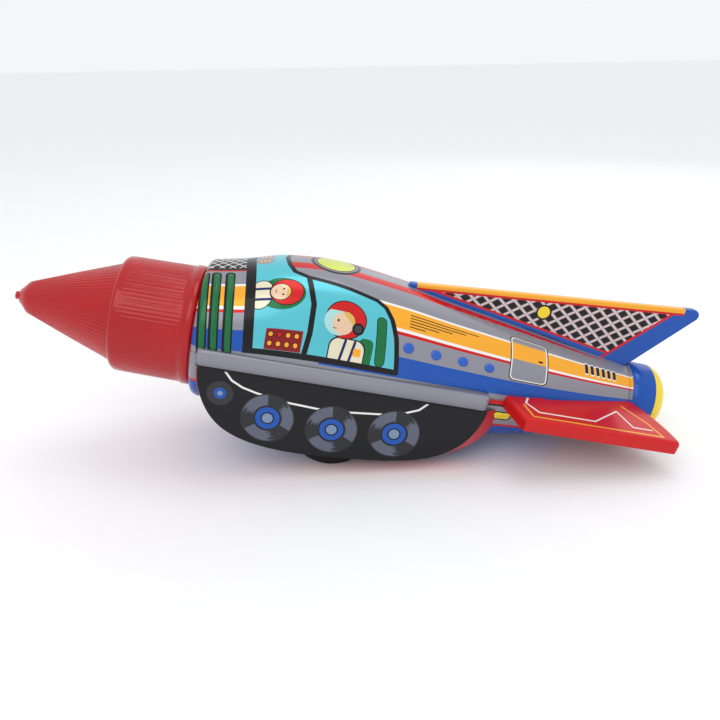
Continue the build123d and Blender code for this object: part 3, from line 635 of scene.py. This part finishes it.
def printFittings(p):
    k = hullShape["skinPerDegree"]
    around = p.join(p.math("SUBTRACT", p.u, ridgeLamp["station"]), p.side)
    crown = p.vector("LENGTH", around, out=1)
    for radius, colour in ridgeLamp["rings"]:
        p.ink(p.under(crown, radius), inks[colour])
    for inset, corner, colour in hatch["layers"]:
        door = p.panel(hatch["front"] + inset, hatch["back"] - inset, hatch["low"] + inset, hatch["top"] - inset,
                       corner)
        p.ink(door, inks[colour])
    low, high = hatch["amber"]
    p.ink(p.both(door, p.band(p.v, low * k, high * k)), inks["amber"])
    p.ink(p.oval(*hatch["handle"]), inks["black"])
    for vent in range(vents["count"]):
        middle = vents["first"] + vents["pitch"] * vent
        for half, low, high, corner, colour in vents["layers"]:
            p.ink(p.panel(middle - half, middle + half, low, high, corner), inks[colour])
    p.ink(p.over(p.u, tailBand["front"]), inks["blue"])
    p.ink(p.over(p.u, tailBand["back"] + 1.0), inks["yellow"])


def hullPrint():
    p = Press("printedHull", inks["grey"], metal=0.24, rough=0.22).useSkin()
    # the nose end's artwork leans forward towards the ridge
    leaned = p.math("ADD", p.u, p.math("MULTIPLY", p.v, skinShape["forward"]))
    front = p.under(leaned, stripeShape["frontEnd"])
    printStripes(p, front)
    printNoseEnd(p, front, leaned)
    frontPane, rearPane = printPanes(p, leaned)
    printFrontPilot(p, frontPane)
    printLampPanel(p)
    printRearPilot(p, rearPane)
    for path, width in (paneShape["divider"], paneShape["outline"]):
        p.ink(p.stroke(path, width), inks["black"])
    printFittings(p)
    return p.finishPress()


hullInk = hullPrint()
settle(upperSkin(), "rocket", "printed_hull", hullInk, "upper_shell")
print("upper skin printed")

# ledges along both sides
ledgeShape = {"front": 94.0, "back": 235.5, "side": 38.2, "top": 3.2, "bottom": -5.2, "corner": 3.0, "round": 1.3,
              "tuck": 6.5, "underSkin": 0.6, "step": 3, "arc": 15, "roundArc": 22}


def sideLedge(name, hand):
    g = ledgeShape
    corner, rounding = g["corner"], g["round"]
    path = [(g["front"], g["side"] - g["tuck"])]
    for degree in range(0, 91, g["arc"]):
        c, s = cos(radians(degree)), sin(radians(degree))
        path.append((g["front"] + corner * (1 - c), g["side"] - corner * (1 - s)))
    straight = range(int(g["front"] + 2 * corner), int(g["back"] - corner), g["step"])
    path += [(station, g["side"]) for station in straight]
    for degree in range(0, 91, g["arc"]):
        c, s = cos(radians(degree)), sin(radians(degree))
        path.append((g["back"] - corner * (1 - s), g["side"] - corner * (1 - c)))
    path.append((g["back"], g["side"] - g["tuck"]))
    points = []
    for station, side in path:
        shelf = min(sectionAt(station)[0] - g["underSkin"], side - rounding)
        points.append((station, hand * shelf, g["top"]))
        inward = (station < g["front"] + corner) - (station > g["back"] - corner)
        for degree in range(0, 91, g["roundArc"]):
            c, s = cos(radians(degree)), sin(radians(degree))
            points.append((station + inward * rounding * (1 - s) / 2, hand * (side - rounding * (1 - s)),
                           g["top"] - rounding * (1 - c)))
        points.append((station, hand * side, g["bottom"]))
    columns = len(points) // len(path)
    piece = outward(makeMesh(name, [place(*q) for q in points], gridFaces(len(path), columns)))
    thick = piece.modifiers.new("sheet", "SOLIDIFY")
    thick.thickness, thick.offset = hullShape["sheet"] / 1000, 0
    return piece


ledgePress = Press("printedLedgeWithPaintedShade", inks["grey"], metal=0.28, rough=0.24)
ledgePress.useSheet(ledgePress.station, ledgePress.height)
# painted shade: the black strip along the lowest 1.2 mm of each ledge stands in for the shade under its rolled
# lip; the grey above is the ledge's print
ledgePress.ink(ledgePress.under(ledgePress.v, -4.0), inks["black"])
ledgeInkAndShade = ledgePress.finishPress()
for name, hand in (("leftLedge", -1), ("rightLedge", 1)):
    settle(sideLedge(name, hand), "rocket", "printed_hull", ledgeInkAndShade)

# domed rivets
rivetShape = {"stations": (191.0, 205.0, 219.0, 233.0), "angle": 25.0, "radius": 2.7, "rise": 1.0,
              "sink": 0.05, "rings": 8, "around": 32}
rivetPress = Press("rivetPaint", tone(0.01, 0.10, 0.50), metal=0.1, rough=0.18, coat=0.6)
rivetInk = rivetPress.finishPress()
for hand, sideName in ((-1, "left"), (1, "right")):
    for number, station in enumerate(rivetShape["stations"]):
        angle = rivetShape["angle"] if hand < 0 else 180 - rivetShape["angle"]
        points = []
        for ring in range(rivetShape["rings"] + 1):
            t = radians(90 * ring / rivetShape["rings"])
            for k in range(rivetShape["around"]):
                a = 2 * pi * k / rivetShape["around"]
                r = rivetShape["radius"] * cos(t)
                spot = hullPoint(station + r * cos(a), angle + r * sin(a) / hullShape["skinPerDegree"],
                                 rivetShape["rise"] * sin(t) - rivetShape["sink"])
                points.append(place(*spot))
        grid = gridFaces(rivetShape["rings"] + 1, rivetShape["around"], False, True)
        dome = makeMesh(f"{sideName}Rivet{number + 1}", points, grid)
        settle(outward(dome), "rocket", "printed_hull", rivetInk)
print("ledges and rivets made")


# printed wheels are station, height and radius; the swooshes are arcs with a ragged end
podArt = {"wall": 37.2, "lineWidth": 1.0,
          "line": ((108, -5.5), (111.5, -9.6), (117, -12.4), (124, -14.2), (137.5, -16.6), (154, -17.5),
                   (168, -16.9), (185.5, -15.0), (196.5, -12.3), (202.5, -9.6), (206.6, -5.0)),
          "wheels": ((130.8, -26.6, 13.0), (162.4, -27.6, 13.0), (193.3, -24.8, 13.0)),
          "wheelTone": (0.028, 0.028, 0.030), "swooshTone": (0.115, 0.13, 0.175), "swooshFrom": 7.0,
          "swooshes": 3, "swooshTurn": 3.2, "swooshReach": 0.30, "ragged": (2.6, 1.2, 0.55), "rim": 0.6,
          "hub": ((6.4, "black"), (5.9, "blue"), (3.3, "black"), (2.6, "steelBlue")),
          "smallWheel": (106.9, -17.2, 6.3), "smallTone": (0.035, 0.035, 0.04),
          "smallHub": ((2.9, "blue"), (1.3, "steelBlue"))}


def podPrint():
    g = podArt
    p = Press("printedTrack", inks["black"], metal=0.1, rough=0.2)
    p.useSheet(p.station, p.height)
    wall = p.under(p.math("ABSOLUTE", p.side), g["wall"])
    p.ink(p.stroke(g["line"], g["lineWidth"]), inks["white"])
    streak, spread, length = g["ragged"]
    for x, z, radius in g["wheels"]:
        p.ink(p.oval(x, z, radius), tone(*g["wheelTone"]))
        offset = p.vector("SUBTRACT", p.sheet, (x, z, 0.0))
        away = p.vector("LENGTH", offset, out=1)
        angle = p.math("ARCTAN2", p.split(offset, "Y"), p.split(offset, "X"))
        turned = p.math("MULTIPLY", angle, g["swooshes"] / (2 * pi))
        sweep = p.math("FRACT", p.math("ADD", turned, g["swooshTurn"]))
        ragged = p.tree.nodes.new("ShaderNodeTexNoise")
        grain = p.join(p.math("MULTIPLY", away, streak), p.math("MULTIPLY", sweep, spread))
        p.link(grain, ragged.inputs["Vector"])
        ragged.inputs["Scale"].default_value = 1.0
        reach = p.math("ADD", g["swooshReach"], p.math("MULTIPLY", ragged.outputs[0], length))
        swoosh = p.both(p.band(away, g["swooshFrom"], radius - g["rim"]), p.under(sweep, reach))
        p.ink(swoosh, tone(*g["swooshTone"]))
        for hub, colour in g["hub"]:
            p.ink(p.oval(x, z, hub), inks[colour])
    x, z, radius = g["smallWheel"]
    p.ink(p.oval(x, z, radius), tone(*g["smallTone"]))
    for hub, colour in g["smallHub"]:
        p.ink(p.oval(x, z, hub), inks[colour])
    p.ink(wall, inks["red"])
    return p.finishPress()


podInk = podPrint()


# wing lines are colour, width and points as station and distance from the middle
wingArt = {"lines": (("amber", 1.0, ((252.5, 38), (255, 47.5), (322, 47.5), (318, 37), (309, 24))),
                     ("white", 1.0, ((258, 27), (254, 36), (259, 43), (288, 43))),
                     ("white", 0.8, ((288, 43), (304, 30), (308, 43), (318, 43))))}


def wingPrint():
    p = Press("printedWing", inks["red"], metal=0.12, rough=0.2)
    p.useSheet(p.station, p.math("ABSOLUTE", p.side))
    for colour, width, path in wingArt["lines"]:
        p.ink(p.stroke(path, width), inks[colour])
    return p.finishPress()


wingInk = wingPrint()


# lattice between a blue root and trailing band with red borders, under an amber top edge
finArt = {"pitch": 8.4, "slope": 1.35, "pinkThread": 0.30, "whiteThread": (0.12, 0.18), "hinge": 190.0,
          "rootSlope": -0.165, "root": ((43.6, "red"), (42.4, "blue")),
          "trailHeight": 23.0, "trailSlope": 0.98, "trail": ((301.0, "red"), (303.0, "blue")),
          "topSlope": 0.0835, "top": ((39.4, "red"), (40.6, "amber")), "tipFrom": 336.0, "nubTo": 194.0,
          "lamp": (262.0, 40.0, 4.2), "lampEdge": 1.0}


def finPrint():
    g = finArt
    p = Press("printedFin", inks["black"], metal=0.12, rough=0.2)
    p.useSheet(p.station, p.height)
    for slope in (-g["slope"], g["slope"]):
        across = p.math("ADD", p.u, p.math("MULTIPLY", p.v, slope))
        wave = p.math("FRACT", p.math("DIVIDE", across, g["pitch"]))
        p.ink(p.under(wave, g["pinkThread"]), inks["pink"])
        p.ink(p.band(wave, *g["whiteThread"]), inks["white"])
    back = p.math("SUBTRACT", p.u, g["hinge"])
    rootLine = p.math("SUBTRACT", p.v, p.math("MULTIPLY", back, g["rootSlope"]))
    for limit, colour in g["root"]:
        p.ink(p.under(rootLine, limit), inks[colour])
    rise = p.math("SUBTRACT", p.v, g["trailHeight"])
    edge = p.math("SUBTRACT", p.u, p.math("MULTIPLY", rise, g["trailSlope"]))
    for limit, colour in g["trail"]:
        p.ink(p.over(edge, limit), inks[colour])
    topLine = p.math("SUBTRACT", p.v, p.math("MULTIPLY", back, g["topSlope"]))
    for limit, colour in g["top"]:
        p.ink(p.over(topLine, limit), inks[colour])
    p.ink(p.over(p.u, g["tipFrom"]), inks["blue"])
    p.ink(p.under(p.u, g["nubTo"]), inks["blue"])
    x, z, radius = g["lamp"]
    p.outlined(x, z, radius, radius, g["lampEdge"], inks["yellow"])
    return p.finishPress()


finInk = finPrint()


# grey sides over a blue keel, red under the wings, and small yellow windows
bellyArt = {"keel": -16.0, "keelLine": -14.6, "wingFrom": 236.0, "wingLow": -2.2, "wingLine": -3.2,
            "windows": (246.0, 262.0, 278.0),
            "layers": ((5.0, -11.5, -6.0, 1.6, "black"), (4.3, -10.8, -6.7, 1.2, "yellow"))}


def bellyPrint():
    g = bellyArt
    p = Press("printedBelly", inks["grey"], metal=0.2, rough=0.26)
    p.useSheet(p.station, p.height)
    p.ink(p.under(p.v, g["keel"]), inks["blue"])
    p.ink(p.band(p.v, g["keel"], g["keelLine"]), inks["red"])
    behind = p.over(p.u, g["wingFrom"])
    p.ink(p.both(behind, p.over(p.v, g["wingLow"])), inks["red"])
    p.ink(p.both(behind, p.band(p.v, g["wingLine"], g["wingLow"])), inks["black"])
    for middle in g["windows"]:
        for half, low, high, corner, colour in g["layers"]:
            p.ink(p.panel(middle - half, middle + half, low, high, corner), inks[colour])
    p.ink(p.over(p.u, tailBand["front"]), inks["grey"])
    p.ink(p.over(p.u, tailBand["back"] + 1.0), inks["yellow"])
    return p.finishPress()


bellyInk = bellyPrint()
for node, material in (("left_track_pod", podInk), ("right_track_pod", podInk), ("left_wing", wingInk),
                       ("right_wing", wingInk), ("left_fin_half", finInk), ("right_fin_half", finInk),
                       ("lower_shell", bellyInk)):
    nodes[node].data.materials.clear()
    nodes[node].data.materials.append(material)
print("pods, wings, fin and belly printed")


# hidden motor and wheels
def plainFinish(name, colour, metal, rough, scale, bump):
    p = Press(name, colour, metal=metal, rough=rough, coat=0.0)
    return p.finishPress(wear=0.22, grain=scale, bump=bump)


finishes = {"motorSteel": (tone(0.50, 0.50, 0.52), 1.0, 0.32, 700.0, 0.10),
            "shaftSteel": (tone(0.60, 0.60, 0.62), 1.0, 0.16, 1200.0, 0.02),
            "gearBrass": (tone(0.66, 0.45, 0.16), 1.0, 0.30, 800.0, 0.08),
            "flywheelIron": (tone(0.10, 0.10, 0.11), 0.9, 0.42, 500.0, 0.20),
            "wheelRubber": (tone(0.012, 0.012, 0.013), 0.0, 0.62, 600.0, 0.30),
            "hubPlastic": (tone(0.03, 0.03, 0.033), 0.0, 0.40, 600.0, 0.10),
            "spacerPlastic": (tone(0.66, 0.64, 0.60), 0.0, 0.45, 500.0, 0.10),
            "sparkAbrasive": (tone(0.12, 0.09, 0.08), 0.1, 0.85, 1600.0, 0.80),
            "flintGrey": (tone(0.07, 0.07, 0.075), 0.6, 0.55, 1400.0, 0.40)}
made = {name: plainFinish(name, *values) for name, values in finishes.items()}
slotFinish = {"motor_steel": "motorSteel", "shaft_steel": "shaftSteel", "gear_brass": "gearBrass",
              "flywheel_iron": "flywheelIron", "wheel_rubber": "wheelRubber", "hub_plastic": "hubPlastic",
              "spacer_plastic": "spacerPlastic", "abrasive": "sparkAbrasive", "flint_grey": "flintGrey"}
for part in frame["record"]["subparts"]:
    if part["material_slot"] in slotFinish:
        nodes[part["node"]].data.materials.clear()
        nodes[part["node"]].data.materials.append(made[slotFinish[part["material_slot"]]])
print("motor and wheels finished")

# floor
floorShape = {"half": 60.0, "tone": (0.93, 0.93, 0.94)}
half = floorShape["half"]
corners = [(-half, -half, 0), (half, -half, 0), (half, half, 0), (-half, half, 0)]
floor = makeMesh("floor", corners, [(0, 1, 2, 3)])
floorPress = Press("paleFloor", tone(*floorShape["tone"]), metal=0.0, rough=0.7, coat=0.0)
floor.data.materials.append(floorPress.finishPress(wear=0.02, grain=200.0, bump=0.01))
